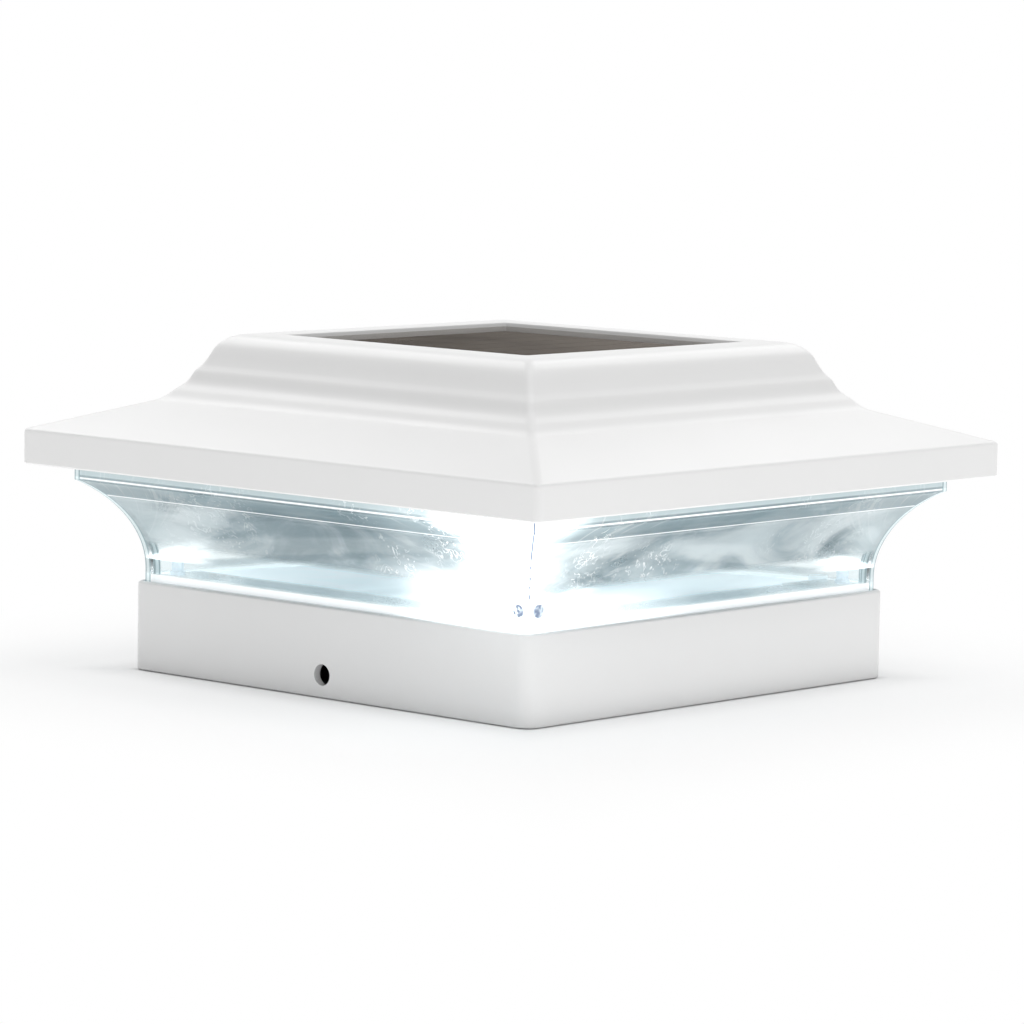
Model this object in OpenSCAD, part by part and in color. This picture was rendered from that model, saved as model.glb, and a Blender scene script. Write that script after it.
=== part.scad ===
// Solar post cap light: a square collar that slips over a hollow post sleeve, a clear coved lens
// above it, and a moulded roof with a solar panel let into its top.
// +Z is up, the origin is the centre of the collar's lower edge, and the front is -Y.

/* [Post collar] */
// Outer width of the square collar
collar_w = 133; // [124:1:150]
// Thickness of the collar's side walls
collar_wall = 2; // [1.6:0.1:3]
// Depth of the socket that the post enters
collar_depth = 19; // [18.5:0.5:26]
// Radius of the collar's upright corners
collar_corner_r = 4; // [2:0.5:6]
// Thickness of the flange that stops the post and carries the lens
flange_t = 1.5; // [1.2:0.1:2.5]
// Width of that flange, from the collar's inner wall inwards
flange_w = 10.5; // [9:0.5:12]
// Height of the rim round the lens foot, above the flange
rim_h = 1.5; // [1:0.1:3]
// Width of that rim
rim_w = 1.7; // [1.2:0.1:3]
// Diameter of each hole for a screw into the post
post_hole_d = 5.2; // [4:0.1:6]
// Height of those holes above the lower edge
post_hole_z = 5.5; // [4:0.5:9]

/* [Lens] */
// Thickness of the lens
lens_wall = 2.2; // [1.6:0.1:3]
// Straight height of the lens foot
lens_foot_h = 4.4; // [3:0.2:8]
// Radius of the cove, on its outer face
cove_r = 25.2; // [22:0.2:28]
// Angle that the cove turns through
cove_turn = 59; // [54:1:64]
// Step from the cove out to the lip
lip_step = 0.3; // [0:0.1:0.6]
// Width of the ledge inside the lens, under the tray
ledge_step = 0.6; // [0.4:0.1:0.9]
// Height of lip that shows below the roof's edge
lip_show = 3.9; // [2:0.1:6]
// Depth that the lip goes into the roof's channel
lip_grip = 3.5; // [2:0.1:4]

/* [Roof] */
// Distance that the roof reaches past the lens lip
roof_overhang = 8.9; // [7:0.1:14]
// Height of the roof's upright edge band
band_h = 8.9; // [7:0.1:12]
// Radius of the rounding above that band
band_r = 1; // [0.5:0.1:2]
// Thickness of the roof shell
roof_wall = 2.2; // [1.8:0.1:2.8]
// Radius of the roof's upright corners
roof_corner_r = 1.8; // [0.6:0.1:3]
// Angle of the long slope, in degrees below the horizontal
slope_deg = 18.5; // [14:0.1:20]
// Width of the flat rim round the solar panel
rim_flat = 8.5; // [7:0.1:11]
// Radius over the rim's outer edge
crown_r = 4.6; // [3:0.2:5]
// Height of the upper riser
riser_top_h = 3.4; // [1.5:0.1:4]
// Height of the middle riser
riser_mid_h = 3.8; // [1.5:0.1:4.5]
// Height of the low riser above the slope
riser_low_h = 1.4; // [0.8:0.1:3]
// Width of the tread between the two upper risers
tread_w = 1.3; // [1:0.1:2]
// Angle of the two upper risers, in degrees below the horizontal
riser_deg = 64; // [58:1:72]
// Radius of the hollow under the middle riser
hollow_r = 5.5; // [4:0.5:8]
// Radius of the hollow at the head of the slope
slope_hollow_r = 6; // [3:0.5:8]
// Thickness of the two ribs that form the lens channel
channel_rib = 2; // [1.4:0.1:2.4]

/* [Solar panel] */
// Width of the square solar panel
panel_w = 79.4; // [70:0.2:88]
// Thickness of the panel's back board
board_t = 1; // [0.8:0.1:1.6]
// Thickness of the cell layer
film_t = 0.3; // [0.2:0.05:0.5]
// Thickness of the clear cover over the cells
cover_t = 1.1; // [0.8:0.1:1.6]
// Thickness of the adhesive foam under the panel
tape_t = 0.3; // [0.2:0.1:1]
// Depth of the panel's face below the rim
panel_recess = 1; // [0.6:0.1:2]
// Width of the ledge that carries the panel
ledge_w = 4; // [3:0.5:6]
// Number of cell strips across the panel
cell_strips = 8; // [4:1:12]

/* [Reflector tray] */
// Height of the tray's face above the collar's lower edge
tray_z = 43; // [41:0.2:45]
// Thickness of the tray
tray_t = 1.8; // [1.2:0.1:2.4]
// Diameter of the posts under the roof that take the tray's screws
tray_post_d = 7; // [6:0.2:8]
// Distance of those posts from the centre, along X and Y
tray_post_at = 58; // [54:0.5:59]

/* [Deck and lamps] */
// Thickness of the deck plate
deck_t = 2.5; // [2.2:0.1:3.4]
// Width of each square lamp board
lamp_board_w = 14; // [12:0.5:15]
// Thickness of each lamp board
lamp_board_t = 1.6; // [1.2:0.1:2]
// Depth that each lamp board is let into the deck
lamp_board_sink = 1; // [0.5:0.1:1.2]
// Diameter of each lamp
lamp_d = 3; // [3:0.2:5]
// Height of each lamp over its board
lamp_h = 4.7; // [4:0.1:7]
// Diameter of the tube that carries the panel leads down to the deck
conduit_d = 4; // [3.6:0.2:5]

/* [Electronics box] */
// Room at each end of the battery bay for a door screw and the box wall
bay_end = 11.5; // [10:0.5:14]
// Gap between the battery bay and the charge board
bay_gap = 4.9; // [4:0.1:6]
// Width of the charge board along Y
charge_w = 24; // [22:0.5:26]
// Thickness of the box walls
box_wall = 1.8; // [1.4:0.1:2.2]
// Thickness of the box floor
box_floor_t = 1.5; // [1.2:0.1:1.7]
// Height of the box floor's lower face
box_floor_z = 3.9; // [3.6:0.1:4]
// Thickness of the battery door
door_t = 1.8; // [1.4:0.1:1.9]
// Thickness of the door gasket
gasket_t = 0.3; // [0.2:0.1:0.5]
// Distance that the battery door comes off downwards
door_travel = 30; // [20:1:60]
// Diameter of the battery cell
cell_d = 14.2; // [13.5:0.1:14.2]
// Length of the battery cell, with its button
cell_l = 50; // [44:0.5:50]
// Thickness of the charge board
charge_board_t = 1.6; // [1:0.1:1.8]
// Height of the slide switch
switch_h = 3.8; // [3.4:0.1:4.6]
// Travel of the switch slider
switch_travel = 3; // [2:0.1:3]

/* [Fasteners and fits] */
// Diameter of the small screws' shanks
screw_d = 2.4; // [2:0.1:2.6]
// Diameter of the small screws' heads
screw_head_d = 4.6; // [4:0.1:5]
// Height of the small screws' heads
screw_head_h = 1.4; // [1:0.1:1.6]
// Gap between a piece and the seat that it drops into
seat_gap = 0.3; // [0.15:0.05:0.4]
// Gap between a moving piece and its guide
slide_gap = 0.3; // [0.2:0.05:0.4]
// Gap between a screw's shank and its hole, on the radius
screw_gap = 0.05; // [0.02:0.01:0.1]
// Thickness of the sealant beads at the two ends of the lens
bead_t = 0.3; // [0.2:0.1:0.6]
// Diameter of each insulated wire
wire_d = 1.2; // [1:0.1:1.3]

/* [Hidden] */
$fn = 48;

// Overshoot of a cut past the face it opens
cut = 1;

// Heights of the collar and the deck
flange_top = collar_depth + flange_t;
rim_top = flange_top + rim_h;
deck_top = flange_top + deck_t;

// Half widths of the collar
collar_half = collar_w / 2;
socket_half = collar_half - collar_wall;
flange_in = socket_half - flange_w;

// Lens outline: a straight foot, a cove that flares outwards, and an upright lip
lens_z = flange_top + bead_t;
lens_out = collar_half - rim_w - seat_gap;
lens_in = lens_out - lens_wall;
cove_z = lens_z + lens_foot_h;
cove_centre = lens_out + cove_r;
cove_in_r = cove_r + lens_wall;
lip_out = lens_out + cove_r * (1 - cos(cove_turn)) + lip_step;
lip_in = lip_out - lens_wall;
lip_z = cove_z + cove_r * sin(cove_turn);
cove_high_r = cove_in_r - ledge_step;
lip_in_turn = acos((cove_centre - lip_in) / cove_high_r);
cove_steps = 14;
ledge_z = tray_z - 0.2;
ledge_turn = asin((ledge_z - cove_z) / cove_in_r);
ledge_high_turn = asin((ledge_z - cove_z) / cove_high_r);

// Roof outline, from the band upwards
roof_half = lip_out + roof_overhang;
roof_z = lip_z + lip_show;
band_top = roof_z + band_h;
lip_top = roof_z + lip_grip + channel_rib;
channel_z = roof_z + channel_rib;
hollow_deg = 30;
low_riser_deg = 48;
arc_steps = 6;
opening_half = panel_w / 2 + seat_gap;
crown_half = opening_half + rim_flat;

// Width and drop of each part of the moulding, from the crown down to the slope
riser_top_run = riser_top_h / tan(riser_deg);
riser_mid_run = riser_mid_h / tan(riser_deg);
riser_low_run = riser_low_h / tan(low_riser_deg);
tread_drop = 1.1 * tread_w;
crown_run = crown_r * sin(riser_deg);
crown_drop = crown_r * (1 - cos(riser_deg));
hollow_run = hollow_r * (sin(riser_deg) - sin(hollow_deg));
hollow_drop = hollow_r * (cos(hollow_deg) - cos(riser_deg));
slope_hollow_run = slope_hollow_r * (sin(low_riser_deg) - sin(slope_deg));
slope_hollow_drop = slope_hollow_r * (cos(slope_deg) - cos(low_riser_deg));
mould_run = crown_run + riser_top_run + tread_w + riser_mid_run + hollow_run + riser_low_run
    + slope_hollow_run;
mould_drop = crown_drop + riser_top_h + tread_drop + riser_mid_h + hollow_drop + riser_low_h
    + slope_hollow_drop;
slope_foot = roof_half - band_r * (1 - sin(slope_deg));
slope_drop = (slope_foot - crown_half - mould_run) * tan(slope_deg);
roof_top = band_top + mould_drop + slope_drop;

// Solar panel, from its face downwards
cover_top = roof_top - panel_recess;
film_top = cover_top - cover_t;
board_top = film_top - film_t;
tape_top = board_top - board_t;
ledge_top = tape_top - tape_t;
ledge_bottom = ledge_top - roof_wall;
ledge_half = opening_half - ledge_w;
panel_half = panel_w / 2;

// Reflector tray: a pan whose wall follows the cove and meets the channel's inner rib
tray_top = channel_z;
tray_half = lip_in - 2 * seat_gap;
tray_r = cove_high_r + 2 * seat_gap;
channel_in = lip_in - seat_gap;
channel_out = lip_out + seat_gap;
channel_depth_z = lip_top + bead_t;
tray_screw_l = 9;
tray_pilot_l = 12;

// Deck plate and lamps
deck_half = lens_in - seat_gap;
deck_screw_at = flange_in + 4.5;
deck_screw_l = deck_t + flange_t - 0.4;
lamp_board_z = deck_top - lamp_board_sink;
lamp_board_top = lamp_board_z + lamp_board_t;
lamp_board_out = deck_half - 0.8;
lamp_board_mid = lamp_board_out - lamp_board_w / 2;
lamp_at = lamp_board_out - 3.3;
lamp_flange_h = 1;
lamp_flange_d = lamp_d + 0.8;
lamp_screw_in = lamp_board_out - lamp_board_w + 3;
lamp_screw_deep = deck_t - lamp_board_sink - 0.4;
lead_hole_d = 3;
lead_hole_at = flange_in - 3;

// Electronics box and its battery bay
box_top = flange_top;
bay_w = cell_d + 1;
bay_set = 3.4;
charge_set = 4.5;
box_w = bay_set + bay_w + bay_gap + charge_w + charge_set;
bay_y = bay_set + bay_w / 2 - box_w / 2;
bay_wall = 1.2;
spring_room = 11;
bay_l = cell_l + spring_room;
box_l = bay_l + 2 * bay_end;
bay_x = -1.5;
cell_gap = 0.9;
door_gap = 0.1;
door_top = box_floor_z - gasket_t - door_gap;
cell_z = door_top + cell_gap + cell_d / 2;
plate_t = 0.4;
button_d = 5.5;
button_l = 1;
cell_end = bay_x + bay_l / 2 - plate_t;
cell_start = cell_end - cell_l;
spring_l = cell_start - (bay_x - bay_l / 2 + plate_t);
sleeve_t = 0.2;
lug_x = box_l / 2 + 3;
lug_y = box_w / 2 - 6;
lug_r = 4;
lug_t = 2.5;
box_screw_l = lug_t + deck_t - 0.6;
door_l = box_l - 3;
door_w = 19;
door_r = 2;
door_screw_x = box_l / 2 - 5;
door_boss_r = 3;
door_boss_top = 10;
door_screw_l = 7;
rib_h = 0.6;
rib_w = 1.2;

// Charge board and what stands on it
floor_top = box_floor_z + box_floor_t;
charge_end = 12;
charge_l = box_l - 2 * charge_end;
charge_y = box_w / 2 - charge_set - charge_w / 2;
charge_z = floor_top + switch_h;
charge_top = charge_z + charge_board_t;
charge_screw_x = charge_l / 2 - 4;
charge_screw_y = charge_y;
standoff_r = 2.6;
switch_x = 14;
switch_y = charge_y;
switch_l = 12.6;
switch_w = 5.6;
cavity_w = 3.4;
cavity_wall = 0.6;
knob_l = 2.6;
knob_w = 2;
carriage_l = 4;
knob_z = 1.6;
connector_shift = charge_w / 2 - 4;
connector_h = 4;
chip_x = -8;
tall_x = 3;
choke_step = 4;
capacitor_step = 5;
capacitor_d = 5;
capacitor_h = 6.5;

// Routes of the wires, as points that each wire pair follows
lead_drop = 0.9;
lead_z = flange_top - lead_drop;
lead_pitch = wire_d + 0.1;
conduit_in = 2;
conduit_off = 5;
conduit_x = conduit_in - box_l / 2;
conduit_y = box_w / 2 + conduit_off;
conduit_bore = conduit_d - 1;
panel_lead_set = 8;
panel_lead_x = conduit_x + panel_lead_set;
lead_high = 10;
lead_low = 3;
panel_bend_r = 1.8;
lamp_bend_r = 1.5;
socket_in = 3;
panel_entry_x = socket_in - charge_l / 2;
lamp_entry_x = 18;
wire_sides = 6;

// Rotates a half outline of [half width, height] points round four sides, with mitred corners
module four_sided(points) {
    count = len(points);
    mirrored = [for (i = [count - 1:-1:0]) [-points[i][0], points[i][1]]];
    outline = concat(points, mirrored);
    reach = 2 * max([for (p = points) p[0]]) + 2 * cut;
    intersection() {
        rotate([90, 0, 0]) linear_extrude(reach, center = true) polygon(outline);
        rotate([90, 0, 90]) linear_extrude(reach, center = true) polygon(outline);
    }
}

// Square plate of a given half width between two heights
module slab(half, low, high) {
    translate([-half, -half, low]) cube([2 * half, 2 * half, high - low]);
}

// Square ring between two half widths and two heights
module square_ring(outer, inner, low, high) {
    difference() {
        slab(outer, low, high);
        slab(inner, low - cut, high + cut);
    }
}

// Flat rectangle with round corners
module rounded_plate(size, r) {
    square([size[0] - 2 * r, size[1]], center = true);
    square([size[0], size[1] - 2 * r], center = true);
    for (x = [-1, 1], y = [-1, 1])
        translate([x * (size[0] / 2 - r), y * (size[1] / 2 - r)]) circle(r);
}

// Copies its children to the four corners of a square
module at_corners(at) {
    for (x = [-1, 1], y = [-1, 1]) translate([x * at, y * at, 0]) children();
}

// Pan-head screw with its head's seat at z = 0 and its shank upwards
module screw(length) {
    cylinder(d = screw_d, h = length);
    translate([0, 0, -screw_head_h]) cylinder(d = screw_head_d, h = screw_head_h);
}

// Hole for a screw's shank, from z = 0 upwards
module screw_hole(length) {
    translate([0, 0, -cut]) cylinder(d = screw_d + 2 * screw_gap, h = length + cut);
}

// Points along an arc whose direction turns from a0 to a1 degrees below the horizontal
function bend(start, r, a0, a1) = [
    for (i = [1:arc_steps])
        let (a = a0 + (a1 - a0) * i / arc_steps)
            start + r * [abs(sin(a) - sin(a0)), -abs(cos(a) - cos(a0))]
];

// Last point of a list
function last(list) = list[len(list) - 1];

// Roof moulding from the crown's edge down to the band, moved in and down by the given shell
function roof_line(shell) =
    let (
        crown = [crown_half - shell, roof_top - shell],
        over = bend(crown, crown_r, 0, riser_deg),
        tread_head = last(over) + [riser_top_run, -riser_top_h],
        tread_foot = tread_head + [tread_w, -tread_drop],
        hollow_head = tread_foot + [riser_mid_run, -riser_mid_h],
        hollow = bend(hollow_head, hollow_r, riser_deg, hollow_deg),
        low_foot = last(hollow) + [riser_low_run, -riser_low_h],
        slope_head = bend(low_foot, slope_hollow_r, low_riser_deg, slope_deg),
        slope_end = [slope_foot - shell, last(slope_head)[1] - slope_drop],
        edge = bend(slope_end, band_r, slope_deg, 90)
    )
    concat([crown], over, [tread_head, tread_foot, hollow_head], hollow, [low_foot], slope_head,
        [slope_end], edge);

// Height of the roof's outer face at a distance from the centre line
function roof_height(at) = lookup(at, [for (p = roof_line(0)) [p[0], p[1]]]);

// Points of one face of the lens, as [half width, height], from the foot up
function cove_line(r, from, to) = [
    for (i = [0:cove_steps])
        let (a = from + (to - from) * i / cove_steps)
            [cove_centre - r * cos(a), cove_z + r * sin(a)]
];

// Reverses a list of points
function reversed(list) = [for (i = [len(list) - 1:-1:0]) list[i]];

// Ring of a wire: wire_sides points round p, square to the direction t
function wire_ring(p, t, d) =
    let (
        along = t / norm(t),
        side = cross(along, [0.31, 0.23, 0.92]),
        u = side / norm(side),
        v = cross(along, u)
    )
    [for (k = [0:wire_sides - 1]) p + d / 2 * (cos(360 * k / wire_sides) * u
        + sin(360 * k / wire_sides) * v)];

// Tube of diameter d along a list of points
module tube(path, d) {
    n = len(path);
    rings = [
        for (i = [0:n - 1])
            let (before = path[max(i - 1, 0)], after = path[min(i + 1, n - 1)])
                each wire_ring(path[i], after - before, d)
    ];
    sides = [
        for (i = [0:n - 2], k = [0:wire_sides - 1])
            let (m = (k + 1) % wire_sides)
                [i * wire_sides + k, i * wire_sides + m, (i + 1) * wire_sides + m,
                    (i + 1) * wire_sides + k]
    ];
    start = [for (k = [wire_sides - 1:-1:0]) k];
    end = [for (k = [0:wire_sides - 1]) (n - 1) * wire_sides + k];
    polyhedron(rings, concat(sides, [start, end]), convexity = 6);
}

// Rounds the inner corners of a route by cutting each back a distance and easing between
function eased(path, back) = [
    for (i = [0:len(path) - 1])
        each (i == 0 || i == len(path) - 1) ? [path[i]] :
            let (
                a = path[i] + back * (path[i - 1] - path[i]) / norm(path[i - 1] - path[i]),
                b = path[i] + back * (path[i + 1] - path[i]) / norm(path[i + 1] - path[i])
            )
            [for (s = [0:0.5:1]) (1 - s) * (1 - s) * a + 2 * s * (1 - s) * path[i] + s * s * b]
];

// White roof shell with the panel's pocket, the lens channel and the tray's posts
module roof() {
    outer = concat([[roof_half, roof_z]], reversed(roof_line(0)), [[0, roof_top]]);
    hollow = [for (p = roof_line(roof_wall)) [p[0], min(p[1], ledge_bottom)]];
    inner = concat([[roof_half - roof_wall, roof_z - cut]], reversed(hollow),
        [[0, ledge_bottom]]);
    frame_half = channel_out + channel_rib;
    frame_top = roof_height(frame_half) - roof_wall / 2;
    post_top = roof_height(tray_post_at + tray_post_d / 2) - roof_wall / 2;
    color("white") difference() {
        union() {
            difference() {
                intersection() {
                    four_sided(concat([[0, roof_z]], outer));
                    translate([0, 0, roof_z - cut])
                        linear_extrude(roof_top - roof_z + 2 * cut)
                            rounded_plate([2 * roof_half, 2 * roof_half], roof_corner_r);
                }
                four_sided(concat([[0, roof_z - cut]], inner));
            }
            difference() {
                square_ring(frame_half, channel_in - channel_rib, channel_z, frame_top);
                square_ring(channel_out, channel_in, channel_z - cut, channel_depth_z);
            }
            at_corners(tray_post_at)
                translate([0, 0, tray_z + tray_t])
                    cylinder(d = tray_post_d, h = post_top - tray_z - tray_t);
        }
        slab(opening_half, ledge_top, roof_top + cut);
        slab(ledge_half, ledge_bottom - cut, roof_top + cut);
        at_corners(tray_post_at)
            translate([0, 0, tray_z + tray_t]) screw_hole(tray_pilot_l);
    }
}

// Clear cover of the solar panel
module panel_cover() {
    color([0.35, 0.34, 0.32, 0.5]) slab(panel_half, film_top, cover_top);
}

// Dark cell strips, laid side by side with a thin line between them
module solar_cells() {
    margin = 1.5;
    line = 0.5;
    pitch = (panel_w - 2 * margin) / cell_strips;
    color([0.2, 0.19, 0.18])
        for (i = [0:cell_strips - 1])
            translate([-panel_half + margin + i * pitch + line / 2, -panel_half + margin, board_top])
                cube([pitch - line, panel_w - 2 * margin, film_t]);
}

// Back board of the solar panel
module panel_board() {
    color("dimgray") slab(panel_half, tape_top, board_top);
}

// Adhesive foam frame between the panel and its ledge
module panel_tape() {
    color("black") square_ring(panel_half, ledge_half, ledge_top, tape_top);
}

// Clear coved lens, open at both ends
module lens() {
    outer = concat([[0, lens_z], [lens_out, lens_z]], cove_line(cove_r, 0, cove_turn),
        [[lip_out, lip_z], [lip_out, lip_top], [0, lip_top]]);
    inner = concat([[0, lens_z - cut], [lens_in, lens_z - cut]],
        cove_line(cove_in_r, 0, ledge_turn), cove_line(cove_high_r, ledge_high_turn, lip_in_turn),
        [[lip_in, lip_top + cut], [0, lip_top + cut]]);
    color([0.72, 0.84, 0.88, 0.45]) difference() {
        four_sided(outer);
        four_sided(inner);
    }
}

// Sealant bead between the lens lip and the roof's channel
module lens_lip_seal() {
    color("gainsboro") square_ring(lip_out, lip_in, lip_top, lip_top + bead_t);
}

// Sealant bead between the lens foot and the flange
module lens_foot_seal() {
    color("gainsboro") square_ring(lens_out, lens_in, flange_top, lens_z);
}

// Points of one face of the tray's wall, from its floor up to a half width
function tray_line(r, low, half) =
    let (a0 = asin((low - cove_z) / r), a1 = acos((cove_centre - half) / r))
    [
        for (i = [0:arc_steps])
            let (a = a0 + (a1 - a0) * i / arc_steps)
                [cove_centre - r * cos(a), cove_z + r * sin(a)]
    ];

// Pan that closes the roof from below and throws the light back
module reflector_tray() {
    outer = concat([[0, tray_z]], tray_line(tray_r, tray_z, tray_half),
        [[tray_half, tray_top], [0, tray_top]]);
    inner_half = tray_half - tray_t;
    inner = concat([[0, tray_z + tray_t]], tray_line(tray_r + tray_t, tray_z + tray_t, inner_half),
        [[inner_half, tray_top + cut], [0, tray_top + cut]]);
    color("lightsteelblue") difference() {
        four_sided(outer);
        four_sided(inner);
        at_corners(tray_post_at) translate([0, 0, tray_z]) screw_hole(tray_t + cut);
        translate([conduit_x, conduit_y, tray_z - cut]) cylinder(d = conduit_bore, h = tray_t + 2 * cut);
    }
}

// Screws that hold the tray to the roof's posts
module tray_screws() {
    color("silver") at_corners(tray_post_at) translate([0, 0, tray_z]) screw(tray_screw_l);
}

// White square collar with the flange that the post stops against
module base_collar() {
    color("white") difference() {
        linear_extrude(rim_top) rounded_plate([collar_w, collar_w], collar_corner_r);
        slab(socket_half, -cut, collar_depth);
        slab(flange_in, -cut, rim_top + cut);
        slab(lens_out + seat_gap, flange_top, rim_top + cut);
        for (side = [0, 180])
            rotate([90, 0, side])
                translate([0, post_hole_z, socket_half - cut])
                    cylinder(d = post_hole_d, h = collar_wall + 2 * cut);
        for (turn = [0:90:270])
            rotate([0, 0, turn])
                translate([deck_screw_at, 0, deck_top - screw_head_h - deck_screw_l])
                    screw_hole(deck_screw_l);
    }
}

// White floor of the lamp chamber, inside the lens foot
module deck_plate() {
    color("white") difference() {
        slab(deck_half, flange_top, deck_top);
        for (x = [-1, 1], y = [-1, 1])
            translate([x * lamp_board_mid, y * lamp_board_mid, lamp_board_z + deck_t / 2])
                cube([lamp_board_w + 2 * seat_gap, lamp_board_w + 2 * seat_gap, deck_t], center = true);
        for (x = [-1, 1], y = [-1, 1])
            translate([x * lamp_screw_in, y * lamp_at, lamp_board_z]) mirror([0, 0, 1])
                screw_hole(lamp_screw_deep + 0.2);
        at_corners(lead_hole_at)
            translate([0, 0, flange_top - cut]) cylinder(d = lead_hole_d, h = deck_t + 2 * cut);
        for (turn = [0:90:270])
            rotate([0, 0, turn])
                translate([deck_screw_at, 0, deck_top - screw_head_h]) {
                    cylinder(d = screw_head_d + 2 * seat_gap, h = screw_head_h + cut);
                    translate([0, 0, -deck_t]) screw_hole(deck_t + cut);
                }
        for (x = [-1, 1], y = [-1, 1])
            translate([x * lug_x, y * lug_y, flange_top]) screw_hole(box_screw_l - lug_t + 0.2);
        translate([conduit_x, conduit_y, flange_top - cut])
            cylinder(d = conduit_bore, h = deck_t + 2 * cut);
    }
}

// Screws let into the deck that hold it to the flange
module deck_screws() {
    color("silver")
        for (turn = [0:90:270])
            rotate([0, 0, turn])
                translate([deck_screw_at, 0, deck_top - screw_head_h]) rotate([180, 0, 0])
                    screw(deck_screw_l - screw_head_h);
}

// Small boards that carry the lamps, let into the deck's corners
module lamp_boards() {
    color("whitesmoke")
        for (x = [-1, 1], y = [-1, 1])
            difference() {
                translate([x * lamp_board_mid, y * lamp_board_mid, lamp_board_z + lamp_board_t / 2])
                    cube([lamp_board_w, lamp_board_w, lamp_board_t], center = true);
                translate([x * lamp_screw_in, y * lamp_at, lamp_board_z])
                    screw_hole(lamp_board_t + cut);
            }
}

// Upright lamps with round heads, one in each corner
module lamp_domes() {
    color("aliceblue")
        at_corners(lamp_at) translate([0, 0, lamp_board_top]) {
            cylinder(d = lamp_flange_d, h = lamp_flange_h);
            cylinder(d = lamp_d, h = lamp_h - lamp_d / 2);
            translate([0, 0, lamp_h - lamp_d / 2]) sphere(d = lamp_d);
        }
}

// Screws that hold the lamp boards, heads up
module lamp_board_screws() {
    color("silver")
        for (x = [-1, 1], y = [-1, 1])
            translate([x * lamp_screw_in, y * lamp_at, lamp_board_top]) rotate([180, 0, 0])
                screw(lamp_board_t + lamp_screw_deep);
}

// Tube that hides the panel leads where they cross the lamp chamber
module wire_conduit() {
    color("white") translate([conduit_x, conduit_y, deck_top]) difference() {
        cylinder(d = conduit_d, h = tray_z - deck_top);
        translate([0, 0, -cut]) cylinder(d = conduit_bore, h = tray_z - deck_top + 2 * cut);
    }
}

// Box under the deck, with the battery bay along its front and the charge board behind
module electronics_box() {
    bay_out_l = bay_l + 2 * bay_wall;
    bay_out_w = bay_w + 2 * bay_wall;
    color("lightgray") difference() {
        union() {
            difference() {
                translate([-box_l / 2, -box_w / 2, box_floor_z])
                    cube([box_l, box_w, box_top - box_floor_z]);
                translate([-box_l / 2 + box_wall, -box_w / 2 + box_wall, floor_top])
                    cube([box_l - 2 * box_wall, box_w - 2 * box_wall, box_top - floor_top + cut]);
            }
            translate([bay_x - bay_out_l / 2, bay_y - bay_out_w / 2, box_floor_z])
                cube([bay_out_l, bay_out_w, cell_z + cell_d / 4 - box_floor_z]);
            for (x = [-1, 1], y = [-1, 1])
                translate([x * lug_x, y * lug_y, box_top - lug_t]) {
                    cylinder(r = lug_r, h = lug_t);
                    translate([-x * lug_r / 2 - lug_r / 2, -lug_r, 0]) cube([lug_r, 2 * lug_r, lug_t]);
                }
            for (x = [-1, 1]) {
                translate([x * door_screw_x, bay_y, box_floor_z])
                    cylinder(r = door_boss_r, h = door_boss_top - box_floor_z + 1);
                translate([x * charge_screw_x, charge_screw_y, box_floor_z])
                    cylinder(r = standoff_r, h = charge_z - box_floor_z);
            }
        }
        translate([bay_x - bay_l / 2, bay_y - bay_w / 2, box_floor_z - cut])
            cube([bay_l, bay_w, box_top]);
        for (x = [-1, 1], y = [-1, 1])
            translate([x * lug_x, y * lug_y, box_top - lug_t]) screw_hole(lug_t + cut);
        for (x = [-1, 1]) {
            translate([x * door_screw_x, bay_y, box_floor_z]) screw_hole(door_screw_l);
            translate([x * charge_screw_x, charge_screw_y, floor_top]) screw_hole(switch_h + cut);
        }
        translate([switch_x, switch_y, box_floor_z + box_floor_t / 2])
            cube([knob_l + switch_travel + 4 * slide_gap, knob_w + 4 * slide_gap, 2 * box_floor_t],
                center = true);
        for (x = [-lamp_entry_x, lamp_entry_x])
            translate([x - 2 * lead_pitch, -box_w / 2 - cut, lead_z - lead_pitch])
                cube([4 * lead_pitch, box_w + 2 * cut, 2 * lead_pitch + cut]);
        translate([panel_entry_x - 2 * lead_pitch, 0, lead_z - lead_pitch])
            cube([4 * lead_pitch, box_w, 2 * lead_pitch + cut]);
    }
}

// Screws through the box's lugs into the deck
module box_screws() {
    color("silver")
        for (x = [-1, 1], y = [-1, 1])
            translate([x * lug_x, y * lug_y, box_top - lug_t]) screw(box_screw_l);
}

// Board that charges the battery by day and lights the lamps by night
module charge_board() {
    color("darkgreen") difference() {
        translate([0, charge_y, charge_z + charge_board_t / 2])
            cube([charge_l, charge_w, charge_board_t], center = true);
        for (x = [-1, 1])
            translate([x * charge_screw_x, charge_screw_y, charge_z]) screw_hole(charge_board_t + cut);
    }
}

// Screws that hold the charge board to its standoffs, heads up
module charge_board_screws() {
    color("silver")
        for (x = [-1, 1])
            translate([x * charge_screw_x, charge_screw_y, charge_top]) rotate([180, 0, 0])
                screw(charge_board_t + switch_h - 1);
}

// Control chip with eight short legs
module controller_chip() {
    chip = [5, 4, 1.5];
    leg = [0.5, 1.2, 0.3];
    color([0.12, 0.12, 0.13]) translate([chip_x, charge_y, charge_top]) {
        translate([-chip[0] / 2, -chip[1] / 2, 0.1]) cube(chip);
        for (i = [-1.5:1:1.5], side = [-1, 1])
            translate([i * 1.2 - leg[0] / 2, side * (chip[1] / 2 + leg[1] / 2 - 0.2) - leg[1] / 2, 0])
                cube(leg);
    }
}

// Wound choke: a bobbin with two round cheeks
module inductor() {
    color("saddlebrown") translate([tall_x, charge_y + choke_step, charge_top]) {
        cylinder(d = 6, h = 1);
        cylinder(d = 4.4, h = 5);
        translate([0, 0, 4]) cylinder(d = 6, h = 1);
    }
}

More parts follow.
